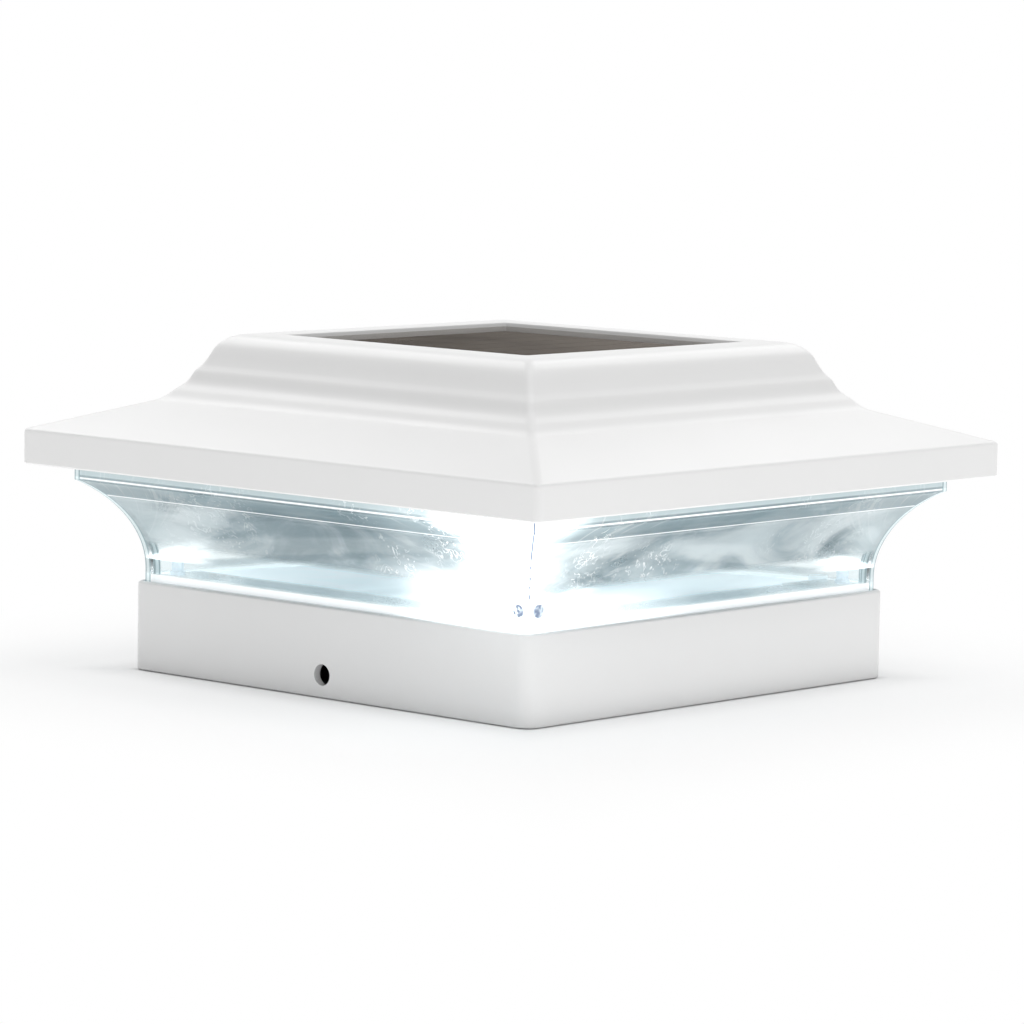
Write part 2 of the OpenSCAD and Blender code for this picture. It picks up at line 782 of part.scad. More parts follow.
// Upright smoothing capacitor
module capacitor() {
    color("navy") translate([tall_x, charge_y - capacitor_step, charge_top])
        cylinder(d = capacitor_d, h = capacitor_h);
}

// Sockets on the charge board where the lead pairs end
module lead_connectors() {
    socket = [6, 5, connector_h];
    color("ivory") {
        for (x = [-lamp_entry_x, lamp_entry_x], y = [-connector_shift, connector_shift])
            translate([x, charge_y + y, charge_top + connector_h / 2]) cube(socket, center = true);
        translate([panel_entry_x, charge_y + connector_shift, charge_top + connector_h / 2])
            cube(socket, center = true);
    }
}

// Housing of the slide switch, under the charge board
module switch_housing() {
    inner_l = carriage_l + switch_travel + 2 * slide_gap;
    color("silver") translate([switch_x, switch_y, floor_top]) difference() {
        translate([-switch_l / 2, -switch_w / 2, 0]) cube([switch_l, switch_w, switch_h]);
        translate([-inner_l / 2, -cavity_w / 2, cavity_wall])
            cube([inner_l, cavity_w, switch_h - 2 * cavity_wall]);
        translate([-(knob_l + switch_travel) / 2 - slide_gap, -knob_w / 2 - slide_gap, -cut])
            cube([knob_l + switch_travel + 2 * slide_gap, knob_w + 2 * slide_gap, cavity_wall + 2 * cut]);
    }
}

// Slider of the switch, at its on end
module switch_slider() {
    carriage_z = floor_top + cavity_wall + slide_gap;
    carriage_h = switch_h - 2 * cavity_wall - 2 * slide_gap;
    color("black") translate([switch_x - switch_travel / 2, switch_y, 0]) {
        translate([-carriage_l / 2, -cavity_w / 2 + slide_gap, carriage_z])
            cube([carriage_l, cavity_w - 2 * slide_gap, carriage_h]);
        translate([-knob_l / 2, -knob_w / 2, knob_z]) cube([knob_l, knob_w, carriage_z - knob_z + 0.5]);
    }
}

// Rechargeable cell, lying along X with its button to the right
module battery_cell() {
    color("silver") translate([cell_start, bay_y, cell_z]) rotate([0, 90, 0]) {
        cylinder(d = cell_d - 2 * sleeve_t, h = cell_l - button_l);
        cylinder(d = button_d, h = cell_l);
    }
}

// Printed sleeve round the cell, left bare
module battery_sleeve() {
    end = 1;
    color("seagreen") translate([cell_start + end, bay_y, cell_z]) rotate([0, 90, 0]) difference() {
        cylinder(d = cell_d, h = cell_l - button_l - 2 * end);
        translate([0, 0, -cut]) cylinder(d = cell_d - 2 * sleeve_t, h = cell_l + cut);
    }
}

// Tapered coil that presses the cell against the other contact
module contact_spring() {
    turns = 4;
    steps = 8;
    spring_wire = 0.8;
    base_r = 4.6;
    tip_r = 3;
    run = spring_l - spring_wire;
    count = turns * steps;
    path = [
        for (i = [0:count])
            let (s = i / count, r = base_r + (tip_r - base_r) * s)
                [cell_start - spring_l + spring_wire / 2 + run * s, bay_y + r * cos(360 * i / steps),
                    cell_z + r * sin(360 * i / steps)]
    ];
    color("silver") tube(path, spring_wire);
}

// Flat contacts at the two ends of the bay
module contact_plates() {
    plate_w = 11;
    color("silver")
        for (x = [bay_x - bay_l / 2, bay_x + bay_l / 2 - plate_t])
            translate([x, bay_y - plate_w / 2, cell_z - plate_w / 2]) cube([plate_t, plate_w, plate_w]);
}

// Door under the battery bay, with two ribs that hold the cell up
module battery_door() {
    color("lightgray") difference() {
        union() {
            translate([0, bay_y, door_top - door_t])
                linear_extrude(door_t) rounded_plate([door_l, door_w], door_r);
            for (x = [-1, 1])
                translate([x * cell_l / 4 - rib_w / 2 + bay_x, bay_y - bay_w / 4, door_top])
                    cube([rib_w, bay_w / 2, rib_h]);
        }
        for (x = [-1, 1])
            translate([x * door_screw_x, bay_y, door_top - door_t]) screw_hole(door_t + cut);
    }
}

// Gasket between the door and the box floor
module door_gasket() {
    color("black") translate([0, bay_y, door_top]) difference() {
        linear_extrude(gasket_t) rounded_plate([door_l, door_w], door_r);
        translate([bay_x - bay_l / 2, -bay_w / 2, -cut]) cube([bay_l, bay_w, gasket_t + 2 * cut]);
        for (x = [-1, 1]) translate([x * door_screw_x, 0, 0]) screw_hole(gasket_t + cut);
    }
}

// Captive screws of the battery door
module door_screws() {
    color("silver")
        for (x = [-1, 1])
            translate([x * door_screw_x, bay_y, door_top - door_t]) screw(door_t + gasket_t + door_screw_l - 1.5);
}

// Two wires from the panel's back to the charge board, through the conduit
module panel_leads() {
    for (side = [-1, 1]) {
        shift = side * lead_pitch / 2;
        route = [
            [panel_lead_x, conduit_y + shift, tape_top],
            [panel_lead_x, conduit_y + shift, tray_top + lead_high],
            [conduit_x, conduit_y + shift, tray_top + lead_low],
            [conduit_x, conduit_y + shift, lead_z],
            [panel_entry_x + shift, conduit_y + shift, lead_z],
            [panel_entry_x + shift, charge_y + connector_shift, lead_z],
            [panel_entry_x + shift, charge_y + connector_shift, charge_top + connector_h]
        ];
        color(side < 0 ? "firebrick" : "black") tube(eased(route, panel_bend_r), wire_d);
    }
}

// Pairs of wires from the lamp boards to the charge board, under the deck
module lamp_leads() {
    for (x = [-1, 1], y = [-1, 1], side = [-1, 1]) {
        shift = side * lead_pitch / 2;
        end_x = x * (lamp_entry_x - shift);
        end_y = charge_y + y * connector_shift;
        route = [
            [x * lead_hole_at, y * (lead_hole_at + shift), lamp_board_z],
            [x * lead_hole_at, y * (lead_hole_at + shift), lead_z],
            [end_x, y * (lead_hole_at + shift), lead_z],
            [end_x, end_y, lead_z],
            [end_x, end_y, charge_top + connector_h]
        ];
        color(side < 0 ? "firebrick" : "black") tube(eased(route, lamp_bend_r), wire_d);
    }
}

roof();
panel_cover();
solar_cells();
panel_board();
panel_tape();
lens();
lens_lip_seal();
lens_foot_seal();
reflector_tray();
tray_screws();
base_collar();
deck_plate();
deck_screws();
lamp_boards();
lamp_domes();
lamp_board_screws();
wire_conduit();
electronics_box();
box_screws();
charge_board();
charge_board_screws();
controller_chip();
inductor();
capacitor();
lead_connectors();
switch_housing();
switch_slider();
battery_cell();
battery_sleeve();
contact_spring();
contact_plates();
battery_door();
door_gasket();
door_screws();
panel_leads();
lamp_leads();
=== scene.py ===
"""Looks of the deck post cap light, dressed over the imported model. Lengths in mm unless said."""

import math

import bmesh
import bpy
from mathutils import Matrix, Vector


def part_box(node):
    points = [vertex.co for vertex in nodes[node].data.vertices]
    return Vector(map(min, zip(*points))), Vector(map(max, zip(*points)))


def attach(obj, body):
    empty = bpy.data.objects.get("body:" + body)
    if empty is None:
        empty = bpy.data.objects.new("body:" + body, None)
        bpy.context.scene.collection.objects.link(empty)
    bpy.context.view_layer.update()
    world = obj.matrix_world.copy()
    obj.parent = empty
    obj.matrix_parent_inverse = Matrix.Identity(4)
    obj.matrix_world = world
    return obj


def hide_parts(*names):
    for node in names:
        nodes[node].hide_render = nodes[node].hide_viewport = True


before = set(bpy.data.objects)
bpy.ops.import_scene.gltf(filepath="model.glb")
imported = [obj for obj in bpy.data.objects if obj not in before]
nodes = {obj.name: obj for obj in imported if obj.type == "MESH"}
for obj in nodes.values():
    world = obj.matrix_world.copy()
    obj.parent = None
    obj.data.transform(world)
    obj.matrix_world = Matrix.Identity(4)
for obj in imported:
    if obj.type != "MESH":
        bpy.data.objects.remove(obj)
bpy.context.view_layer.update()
MM = 0.001


# ---------------------------------------------------------------- sizes, as the model has them
def top(node):
    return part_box(node)[1].z / MM


def low(node):
    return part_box(node)[0].z / MM


def half(node):
    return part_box(node)[1].x / MM


ROOF_HALF, ROOF_TOP = half("roof"), top("roof")
LENS_HALF, LENS_Z, LENS_TOP = half("lens"), low("lens"), top("lens")
LENS_FOOT = half("lens_foot_seal")  # half width of the lens where the collar holds it
COLLAR_HALF, COLLAR_TOP = half("base_collar"), top("base_collar")
PANEL_HALF = half("panel_cover")
LEDGE_Z = low("panel_tape")
DECK_Z, DECK_TOP = low("deck_plate"), top("deck_plate")
LIP_DEEP = 5.5  # how deep the lens's lip stands in the roof
ROOF_Z = LENS_TOP - LIP_DEEP
LAMP_AT = half("lamp_domes") - 1.9  # middle of a lamp, whose flange is 3.8 across
STEP_Z = low("reflector_tray") - 0.2  # height of the step inside the lens

# ---------------------------------------------------------------- mesh helpers
SHARP_DEG = 32  # edges that turn by more than this stay sharp
LEAST_R = 0.05  # least rounding of a swept corner


def ring(w, z, r, steps):
    """Corner points of a square of half width w with corners rounded to r, at height z."""
    r = min(r, w * 0.98)
    points = []
    for k, (sx, sy) in enumerate(((1, 1), (-1, 1), (-1, -1), (1, -1))):
        for i in range(steps + 1):
            a = math.radians(90 * k + 90 * i / steps)
            points.append(((w - r) * sx + r * math.cos(a), (w - r) * sy + r * math.sin(a), z))
    return points


def sweep(name, profile, steps, sharp_deg=SHARP_DEG):
    """Closed shell: a closed profile of (half width, height, corner radius) round the square."""
    bm = bmesh.new()
    rings = []
    for w, z, r in profile:
        points = ring(w, z, max(r, LEAST_R), steps)
        rings.append([bm.verts.new(Vector(p) * MM) for p in points])
    n = len(rings[0])
    for i, a in enumerate(rings):
        b = rings[(i + 1) % len(rings)]
        for k in range(n):
            m = (k + 1) % n
            bm.faces.new((a[k], a[m], b[m], b[k]))
    bmesh.ops.recalc_face_normals(bm, faces=bm.faces)
    return mesh_object(name, bm, sharp_deg)


def smooth(bm, sharp_deg):
    """Smooth shading with sharp edges where the faces turn by more than sharp_deg."""
    bm.normal_update()
    for f in bm.faces:
        f.smooth = True
    for e in bm.edges:
        if len(e.link_faces) == 2:
            e.smooth = e.calc_face_angle(0) < math.radians(sharp_deg)


def mesh_object(name, bm, sharp_deg=SHARP_DEG):
    """Object in the scene from a bmesh, which it frees."""
    smooth(bm, sharp_deg)
    mesh = bpy.data.meshes.new(name)
    bm.to_mesh(mesh)
    bm.free()
    obj = bpy.data.objects.new(name, mesh)
    bpy.context.scene.collection.objects.link(obj)
    return obj


def arc(cx, cz, r, a0, a1, n):
    """Points on an arc, as (half width, height)."""
    out = []
    for i in range(n + 1):
        a = math.radians(a0 + (a1 - a0) * i / n)
        out.append((cx + r * math.cos(a), cz + r * math.sin(a)))
    return out


def turn(start, r, a0, a1, n=10):
    """Points after start on an arc whose direction turns from a0 to a1 below the horizontal."""
    out = []
    for i in range(1, n + 1):
        a = a0 + (a1 - a0) * i / n
        out.append((start[0] + r * abs(math.sin(a) - math.sin(a0)),
                    start[1] - r * abs(math.cos(a) - math.cos(a0))))
    return out


def soften(points, step, sigma):
    """Resamples an open line every step and smooths it with a bell of width sigma, ends kept."""
    dense = [points[0]]
    for a, b in zip(points, points[1:]):
        count = max(1, int(math.dist(a, b) / step))
        for i in range(1, count + 1):
            t = i / count
            dense.append((a[0] + (b[0] - a[0]) * t, a[1] + (b[1] - a[1]) * t))
    out = []
    reach = int(3 * sigma / step)
    for i in range(len(dense)):
        side = min(reach, i, len(dense) - 1 - i)
        total = sx = sz = 0.0
        for j in range(-side, side + 1):
            g = math.exp(-0.5 * (j * step / sigma) ** 2)
            total += g
            sx += g * dense[i + j][0]
            sz += g * dense[i + j][1]
        out.append((sx / total, sz / total))
    return out


def thin(points, tolerance):
    """Drops points of a line that lie within tolerance of a straight run."""
    if len(points) < 3:
        return points
    a, b = points[0], points[-1]
    length = math.dist(a, b) or 1e-9
    worst, at = 0, 0
    for i in range(1, len(points) - 1):
        p = points[i]
        d = abs((b[0] - a[0]) * (a[1] - p[1]) - (a[0] - p[0]) * (b[1] - a[1])) / length
        if d > worst:
            worst, at = d, i
    if worst < tolerance:
        return [a, b]
    return thin(points[: at + 1], tolerance)[:-1] + thin(points[at:], tolerance)


def height_on(line, w):
    """Height of a line at half width w."""
    for a, b in zip(line, line[1:]):
        if a[0] <= w <= b[0]:
            return a[1] + (b[1] - a[1]) * (w - a[0]) / (b[0] - a[0])
    return line[-1][1]


# ---------------------------------------------------------------- node helpers
class Nodes:
    """Short hand for building the nodes of one material or world."""

    coords = None  # place on the object in metres, which a material has

    def __init__(self, owner, output):
        self.owner = owner
        owner.use_nodes = True
        self.tree = owner.node_tree
        self.tree.nodes.clear()
        self.out = self.add(output)

    def add(self, kind, **values):
        node = self.tree.nodes.new(kind)
        for key, value in values.items():
            setattr(node, key, value)
        return node

    def link(self, a, b):
        self.tree.links.new(a, b)

    def put(self, socket, value):
        """Links a socket's value, or sets a plain one."""
        if isinstance(value, bpy.types.NodeSocket):
            self.link(value, socket)
        else:
            socket.default_value = value

    def math(self, op, a, b=0.0, clamp=False):
        node = self.add("ShaderNodeMath", operation=op, use_clamp=clamp)
        self.put(node.inputs[0], a)
        self.put(node.inputs[1], b)
        return node.outputs[0]

    def fold(self, op, values):
        """Takes several values together, two at a time."""
        result = values[0]
        for value in values[1:]:
            result = self.math(op, result, value)
        return result

    def product(self, *values):
        return self.fold("MULTIPLY", values)

    def total(self, *values):
        return self.fold("ADD", values)

    def most(self, *values):
        return self.fold("MAXIMUM", values)

    def rest(self, value):
        """What a weight leaves of 1."""
        return self.math("SUBTRACT", 1.0, value)

    def length(self, a, b):
        return self.math("SQRT", self.total(self.product(a, a), self.product(b, b)))

    def noise(self, scale, detail, rough=0.5, distortion=0.0, vector=None):
        node = self.add("ShaderNodeTexNoise")
        node.inputs["Scale"].default_value = scale
        node.inputs["Detail"].default_value = detail
        node.inputs["Roughness"].default_value = rough
        node.inputs["Distortion"].default_value = distortion
        self.link(vector or self.coords, node.inputs["Vector"])
        return node.outputs["Fac"]

    def voronoi(self, scale, feature="F1", rand=1.0):
        node = self.add("ShaderNodeTexVoronoi", feature=feature)
        node.inputs["Scale"].default_value = scale
        node.inputs["Randomness"].default_value = rand
        self.link(self.coords, node.inputs["Vector"])
        return node.outputs["Distance"]

    def span(self, value, a, b, lo=0.0, hi=1.0, eased=True):
        """Takes a value from the range a to b over to the range lo to hi."""
        kind = "SMOOTHSTEP" if eased else "LINEAR"
        node = self.add("ShaderNodeMapRange", interpolation_type=kind)
        self.link(value, node.inputs["Value"])
        for key, v in zip(("From Min", "From Max", "To Min", "To Max"), (a, b, lo, hi)):
            node.inputs[key].default_value = v
        return node.outputs["Result"]

    def near(self, value, at, wide, soft):
        """1 where the value is within wide of a given one, and 0 from soft beyond that."""
        off = self.math("ABSOLUTE", self.math("SUBTRACT", value, at))
        return self.span(off, wide, wide + soft, 1.0, 0.0)

    def mix(self, fac, a, b):
        """Mix of two colours."""
        node = self.add("ShaderNodeMix", data_type="RGBA")
        self.put(node.inputs["Factor"], fac)
        self.put(node.inputs[6], a)
        self.put(node.inputs[7], b)
        return node.outputs[2]

    def mix_value(self, fac, a, b):
        node = self.add("ShaderNodeMix", data_type="FLOAT")
        self.put(node.inputs["Factor"], fac)
        self.put(node.inputs[2], a)
        self.put(node.inputs[3], b)
        return node.outputs[0]

    def xyz(self):
        node = self.add("ShaderNodeSeparateXYZ")
        self.link(self.coords, node.inputs[0])
        return node.outputs

    def combined(self, *values):
        node = self.add("ShaderNodeCombineXYZ")
        for socket, value in zip(node.inputs, values):
            self.link(value, socket)
        return node.outputs[0]

    def stretched(self, sx, sy, sz):
        node = self.add("ShaderNodeMapping")
        node.inputs["Scale"].default_value = (sx, sy, sz)
        self.link(self.coords, node.inputs["Vector"])
        return node.outputs[0]

    def bump(self, height, strength, distance):
        node = self.add("ShaderNodeBump")
        node.inputs["Strength"].default_value = strength
        node.inputs["Distance"].default_value = distance
        self.link(height, node.inputs["Height"])
        return node.outputs["Normal"]

    def shader(self, kind, **values):
        """Node with what its named sockets take, as its first output."""
        node = self.add("ShaderNode" + kind)
        for key, value in values.items():
            self.put(node.inputs[key.replace("_", " ")], value)
        return node.outputs[0]

    def blend(self, fac, a, b):
        """Mix of two shaders."""
        node = self.add("ShaderNodeMixShader")
        for socket, value in zip(node.inputs, (fac, a, b)):
            self.put(socket, value)
        return node.outputs[0]

    def background_seen(self):
        """1 for the rays that see the white background: camera, glossy and transmission."""
        path = self.add("ShaderNodeLightPath").outputs
        return self.most(path["Is Camera Ray"], path["Is Glossy Ray"],
                         path["Is Transmission Ray"])

    def finish(self, surface):
        """Links the surface and returns the material or world."""
        self.link(surface, self.out.inputs["Surface"])
        return self.owner

    def plastic(self, **values):
        """Finishes with one principled shader."""
        return self.finish(self.shader("BsdfPrincipled", **values))


def material(name):
    m = Nodes(bpy.data.materials.new(name), "ShaderNodeOutputMaterial")
    m.coords = m.add("ShaderNodeTexCoord").outputs["Object"]
    return m


def rgb(r, g, b):
    """sRGB 0-255 to a linear colour."""
    def one(c):
        c /= 255
        return c / 12.92 if c <= 0.04045 else ((c + 0.055) / 1.055) ** 2.4
    return (one(r), one(g), one(b), 1.0)


def grey(level):
    """Linear grey."""
    return (level, level, level, 1)


def darker(colour, share):
    """A share of a colour's light."""
    return tuple(c * share for c in colour[:3]) + (1,)


# ---------------------------------------------------------------- plain materials
FINE, COARSE = 0.0001, 0.0002  # depths of bumps, in metres


def moulded(name, colour, rough, grain, bump, mottle):
    """Moulded plastic: faint mottling, a fine skin texture, roughness that varies a little."""
    m = material(name)
    cloud = m.noise(28, 3)
    base = m.mix(m.span(cloud, 0.35, 0.65), darker(colour, 1 - mottle), colour)
    return m.plastic(Base_Color=base, Normal=m.bump(m.noise(grain, 2), bump, FINE),
                     Roughness=m.span(cloud, 0.3, 0.7, rough - 0.03, rough + 0.04))


def metal(name, colour, rough):
    """Plated steel or copper with fine turning marks."""
    m = material(name)
    marks = m.noise(1, 3, 0.6, vector=m.stretched(260, 260, 2600))
    base = m.mix(m.span(marks, 0.35, 0.65), darker(colour, 0.86), colour)
    return m.plastic(Base_Color=base, Metallic=1.0, Normal=m.bump(marks, 0.12, FINE),
                     Roughness=m.span(marks, 0.3, 0.7, rough - 0.06, rough + 0.1))


def circuit(name, colour, track, lit=0.0):
    """Coated circuit board with faint tracks, and the light of the lamps near by."""
    m = material(name)
    tracks = m.span(m.voronoi(330, "DISTANCE_TO_EDGE", rand=0.4), 0.05, 0.09, 1.0, 0.0)
    base = m.mix(tracks, colour, track)
    return m.plastic(Base_Color=base, Roughness=0.35, Normal=m.bump(tracks, 0.3, FINE),
                     Emission_Color=base, Emission_Strength=lit)


def painted(name, colour, lit):
    """Screws painted like the deck, with the deck's painted glow of the lamps' light."""
    m = material(name)
    skin = m.noise(900, 2)
    base = m.mix(m.span(skin, 0.3, 0.7), darker(colour, 0.94), colour)
    return m.plastic(Base_Color=base, Roughness=0.4, Normal=m.bump(skin, 0.05, FINE),
                     Emission_Color=base, Emission_Strength=lit)


def foam(name, colour, rough=0.85, cell=1500.0, lit=0.0):
    """Foam, rubber or sealant with fine pores. With lit, the sealant has a painted glow of the
    lens's light.
    """
    m = material(name)
    pores = m.voronoi(cell)
    base = m.mix(m.span(pores, 0.1, 0.6), darker(colour, 0.7), colour)
    return m.plastic(Base_Color=base, Roughness=rough, Normal=m.bump(pores, 0.4, COARSE),
                     Emission_Color=base, Emission_Strength=lit)


def wire_material():
    """Red wire jackets with a soft sheen."""
    m = material("wire_skin")
    lumps = m.noise(420, 2)
    base = m.mix(m.span(lumps, 0.35, 0.65), (0.30, 0.02, 0.02, 1), (0.42, 0.04, 0.035, 1))
    return m.plastic(Base_Color=base, Roughness=0.45, Normal=m.bump(lumps, 0.1, COARSE))


def lamp_material():
    """Clear lamp bodies, lit."""
    m = material("lamp_lit")
    return m.plastic(Base_Color=(0.9, 0.95, 1, 1), Roughness=0.1,
                     Emission_Color=(0.80, 0.92, 1, 1),
                     Emission_Strength=m.span(m.noise(900, 2), 0.3, 0.7, 0.15, 0.3))


def reflector_material(name, tint=1.0, lit=0.0):
    """Bright white moulded surface with soft flow marks. With lit, it also has the lamps' light:
    all over its top, more near each lamp, and more towards the front corner."""
    m = material(name)
    cloud = m.noise(1, 4, 0.6, 1.2, m.stretched(24, 24, 24))
    base = m.mix(m.span(cloud, 0.35, 0.7), rgb(206 * tint, 222 * tint, 228 * tint),
                 rgb(236 * tint, 244 * tint, 246 * tint))
    x, y, z = m.xyz()
    off = m.length(*(m.math("SUBTRACT", m.math("ABSOLUTE", v), LAMP_AT * MM) for v in (x, y)))
    spill = m.math("POWER", m.span(off, 0.0, 0.045, 1.0, 0.0, eased=False), 2.0)
    light = m.total(m.span(cloud, 0.35, 0.7, 0.8 * lit, lit), m.product(spill, 1.2 * lit),
                    m.span(m.math("SUBTRACT", x, y), 0.02, 0.11, 0.0, 0.6 * lit))
    on_top = m.span(z, (DECK_TOP - 0.6) * MM, (DECK_TOP - 0.2) * MM)
    return m.plastic(Base_Color=base, Roughness=m.span(cloud, 0.3, 0.7, 0.28, 0.42),
                     Emission_Color=rgb(236, 241, 243),
                     Emission_Strength=m.product(light, on_top),
                     Normal=m.bump(m.noise(500, 2), 0.05, COARSE))


def panel_material():
    """Dark cells with fine collector lines, seen through the panel's cover, with a painted sheen.
    """
    pitch = 0.0016  # of the collector lines, in metres
    m = material("solar_film_skin")
    x, y, _ = m.xyz()
    lines = m.math("FRACT", m.product(m.total(y, 1.0), 1 / pitch))
    line = m.span(lines, 0.88, 0.94)
    base = m.mix(m.span(m.noise(60, 3), 0.3, 0.7), rgb(98, 92, 86), rgb(112, 106, 99))
    # painted sheen: the cells are drawn lighter towards +X +Y
    base = m.mix(m.span(m.total(x, y), -0.03, 0.07, 0.0, 0.9), base, rgb(150, 144, 137))
    base = m.mix(m.product(line, 0.35), base, rgb(116, 110, 103))
    return m.plastic(Base_Color=base, Roughness=0.6, Specular_IOR_Level=0.0,
                     Normal=m.bump(line, 0.1, FINE))


def cover_material():
    """Clear resin cover of the panel."""
    m = material("panel_glass_skin")
    clear = m.shader("BsdfTransparent", Color=(0.86, 0.85, 0.84, 1))
    gloss = m.shader("BsdfGlossy", Color=grey(0.9),
                     Roughness=m.span(m.noise(40, 2), 0.3, 0.7, 0.16, 0.26),
                     Normal=m.bump(m.noise(300, 2), 0.04, COARSE))
    fresnel = m.shader("Fresnel", IOR=1.4)
    return m.finish(m.blend(m.product(fresnel, 0.06), clear, gloss))


# ---------------------------------------------------------------- lens material
# Heights above the ground. A pair is where something begins and where it is full, or gone.
LIP_Z = LENS_TOP - 9.4
HAZE_UP = 30.5, 32.5
LIP_UP = LIP_Z + 1.0, LIP_Z + 1.6
STEP_UP = STEP_Z + 0.5, STEP_Z + 0.8
SLIM_UP, FLOOR_UP = (31, 36), (27, 32)
SEAM_UP, SEAM_WHOLE_UP = (28, 30), (36, 41)
# Places along a face from its nearest corner, in the same way
FLAWS_FROM, FLAWS_TO = (6, 14), (40, 54)
WIDE_GLOW, SLIM_GLOW, FAINT_GLOW = (8, 45), (9, 21), (20, 52)
WEAK_GLOW, FLOOR_GLOW = (-8, 12), (10, 70)
# A lamp's place as its rays show it, and as its image in the corner shows it: along and up
RAYS_AT, IMAGE_AT = (-3.0, 27.5), (3.3, 26.9)
# In metres: where x - y says front corner, and where |y| - |x| says a face that looks along Y
FRONT_FROM, LEFT_FROM = (0.060, 0.080), (-0.0015, 0.0005)


class Face:
    """Place on a lens face in mm: along it from its nearest corner, up, and across the corner's
    seam. Also two weights: front is 1 on the half faces beside the front corner, and left is 1
    on the faces that look along Y."""

    def __init__(self, m):
        x, y, z = m.xyz()
        ax, ay = m.math("ABSOLUTE", x), m.math("ABSOLUTE", y)
        gap = m.math("SUBTRACT", ay, ax)
        off_middle = m.product(m.math("MINIMUM", ax, ay), 1 / MM)
        self.along = m.math("SUBTRACT", LENS_FOOT, off_middle)
        self.up = m.product(z, 1 / MM)
        self.seam = m.product(m.math("ABSOLUTE", gap), 1 / MM)
        self.front = m.span(m.math("SUBTRACT", x, y), *FRONT_FROM)
        self.left = m.span(gap, *LEFT_FROM)


def lens_flaws(m, face, upper):
    """Seeds and short curled streaks, in a patch near each corner. Their white is partly painted
    light of the lamps, strongest by the front corner.
    """
    patch = m.product(m.span(face.along, *FLAWS_FROM), m.span(face.along, *FLAWS_TO, 1.0, 0.0),
                      upper, m.span(m.noise(60, 2, 0.6), 0.42, 0.56),
                      m.span(face.front, 0.0, 1.0, 0.3, 1.0))
    seeds = m.span(m.voronoi(640), 0.12, 0.26, 1.0, 0.0)
    curls = m.near(m.noise(330, 1, distortion=1.5), 0.62, 0.015, 0.02)
    return m.product(seeds, patch), m.product(curls, patch)


def lamp_rays(m, face, upper):
    """Painted rays fanning out from each corner lamp, and a painted glowing wedge low between
    them.
    """
    run = m.math("SUBTRACT", face.along, RAYS_AT[0])
    rise = m.math("SUBTRACT", face.up, RAYS_AT[1])
    slant, reach = m.math("ARCTAN2", rise, run), m.length(run, rise)
    streaks = m.noise(1, 3, 0.6, vector=m.combined(
        m.product(slant, 16), m.product(reach, 0.06), m.product(face.front, 3.0)))
    rays = m.product(m.span(streaks, 0.54, 0.66), m.span(reach, 12, 56, 0.8, 0.0), upper,
                     m.span(face.front, 0.0, 1.0, 0.3, 0.7))
    wedge = m.product(m.span(slant, 0.0, 0.05), m.span(slant, 0.10, 0.25, 1.0, 0.0),
                      m.span(reach, 10, 30, 1.0, 0.0), m.span(face.along, 1.2, 2.2),
                      m.span(streaks, 0.34, 0.5))
    return rays, wedge


def lamp_glow(m, face):
    """The front lamp's glow, strong on one side of the corner and weak on the other."""
    flow = m.noise(1, 3, 0.6, vector=m.stretched(14, 14, 130))
    shifted = m.total(face.along, m.span(flow, 0.25, 0.75, -8.0, 8.0, eased=False))
    high = m.span(face.up, *SLIM_UP)
    wide = m.product(m.span(face.along, *WIDE_GLOW, 1.0, 0.0), m.rest(high))
    slim = m.product(m.span(shifted, *SLIM_GLOW, 1.0, 0.0), high)
    strong = m.total(wide, slim, m.span(face.along, *FAINT_GLOW, 0.12, 0.0))
    on_floor = m.product(m.span(face.along, *FLOOR_GLOW, 0.28, 0.0),
                         m.span(face.up, *FLOOR_UP, 1.0, 0.0))
    weak = m.total(m.span(shifted, *WEAK_GLOW, 0.5, 0.0), on_floor)
    both = m.total(m.product(strong, face.left), m.product(weak, m.rest(face.left)))
    return m.product(both, face.front)


def lamp_images_and_seams(m, face):
    """Painted images of the front lamp, one on each side of its corner, and above lamp height the
    broken line of the seam, which every corner has."""
    off = m.length(m.math("SUBTRACT", face.along, IMAGE_AT[0]),
                   m.math("SUBTRACT", face.up, IMAGE_AT[1]))
    image = m.product(m.span(off, 1.4, 2.1, 1.0, 0.0),
                      m.span(m.noise(900, 2), 0.3, 0.6, 0.65, 1.0))
    dashes = m.most(m.span(m.noise(700, 1), 0.46, 0.56), m.span(face.up, *SEAM_WHOLE_UP))
    seam = m.product(m.near(face.seam, 0.0, 0.16, 0.2), dashes, m.span(face.up, *SEAM_UP))
    return m.most(m.product(image, face.front), seam)


def corner_lines(m, face):
    """Thin lines that outline the other three corners, and the pale strip between them: painted
    light and shade of the clear, rounded corners.
    """
    away = m.rest(face.front)
    lines = m.most(m.span(face.seam, 1.0, 1.3, 1.0, 0.0), m.near(face.seam, 2.5, 0.12, 0.2))
    return m.product(lines, away), m.product(m.span(face.seam, 2.4, 2.9, 1.0, 0.0), away)


